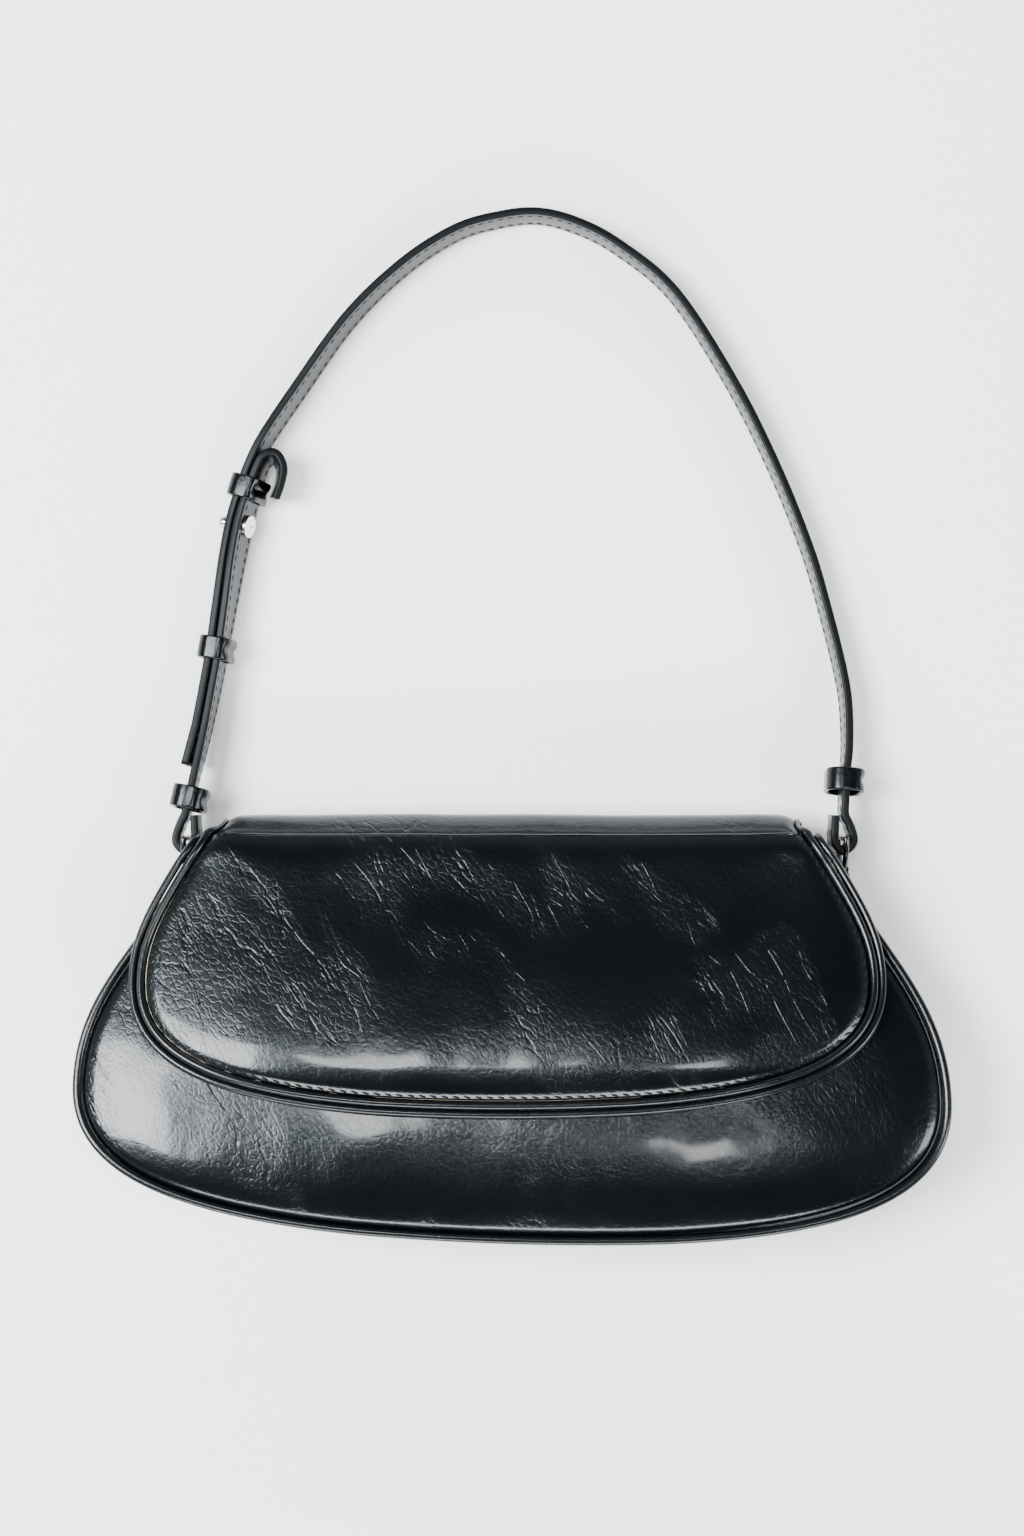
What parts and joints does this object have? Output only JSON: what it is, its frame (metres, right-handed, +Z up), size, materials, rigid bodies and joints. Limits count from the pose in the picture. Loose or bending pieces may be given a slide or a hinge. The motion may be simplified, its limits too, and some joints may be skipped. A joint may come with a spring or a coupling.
{
  "type": "baguette bag",
  "caption": "Curved leather baguette shoulder bag lying on its back, with a fold-over flap, rings and an adjustable strap.",
  "frame": {"origin": "on the ground under the middle of the bag with its strap laid out, with the bag lying on its back", "axes": "+X to the right across the bag, +Y from the bag's bottom edge towards the strap, +Z up out of the bag's front"},
  "size_m": [0.2998, 0.3587, 0.0553],
  "materials": {
    "leather": "glossy creased black leather",
    "edge_leather": "glossy rolled black leather",
    "strap_leather": "smooth stitched black leather",
    "lining": "matt woven cloth",
    "board": "pressed fibre board",
    "nickel": "polished nickel"
  },
  "bodies": {
    "bag": {"front_panel": "leather", "back_panel": "leather", "gusset": "leather", "front_piping": "edge_leather", "back_piping": "edge_leather", "mouth_binding": "edge_leather", "top_roll": "leather", "front_lining": "lining", "back_lining": "lining", "gusset_lining": "lining", "slip_pocket": "lining", "back_board": "board", "base_board": "board", "snap_socket": "nickel", "snap_socket_washer": "nickel", "left_tab": "leather", "right_tab": "leather"},
    "flap": {"flap_panel": "leather", "flap_board": "board", "flap_lining": "lining", "flap_inner_bead": "edge_leather", "flap_outer_bead": "edge_leather", "snap_post": "nickel", "snap_post_washer": "nickel"},
    "strap": {"left_ring": "nickel", "right_ring": "nickel", "long_strap": "strap_leather", "short_strap": "strap_leather", "stud_base": "nickel", "stud_ball": "nickel"},
    "lower_left_keeper": {"lower_left_keeper": "strap_leather"},
    "middle_keeper": {"middle_keeper": "strap_leather"},
    "upper_keeper": {"upper_keeper": "strap_leather"},
    "right_keeper": {"right_keeper": "strap_leather"}
  },
  "joints": [
    {"name": "flap_hinge", "type": "hinge", "parent": "bag", "child": "flap", "pos_m": [0, -0.03949, 0.02809], "axis": [1, 0, 0], "range_deg": [-140, 0]},
    {"name": "strap_swing", "type": "hinge", "parent": "bag", "child": "strap", "pos_m": [0, -0.0427, 0.015], "axis": [1, 0, 0], "range_deg": [-60, 42]},
    {"name": "lower_left_keeper_slide", "type": "slide", "parent": "strap", "child": "lower_left_keeper", "axis": [0.2065, 0.973, -0.103], "range_m": [0, 0.004]},
    {"name": "middle_keeper_slide", "type": "slide", "parent": "strap", "child": "middle_keeper", "axis": [0.1648, 0.9854, -0.0432], "range_m": [-0.008, 0.012]},
    {"name": "upper_keeper_slide", "type": "slide", "parent": "strap", "child": "upper_keeper", "axis": [0.304, 0.9527, 0], "range_m": [-0.003, 0]},
    {"name": "right_keeper_slide", "type": "slide", "parent": "strap", "child": "right_keeper", "axis": [0.0608, 0.9865, -0.1523], "range_m": [-0.003, 0.014]}
  ]
}
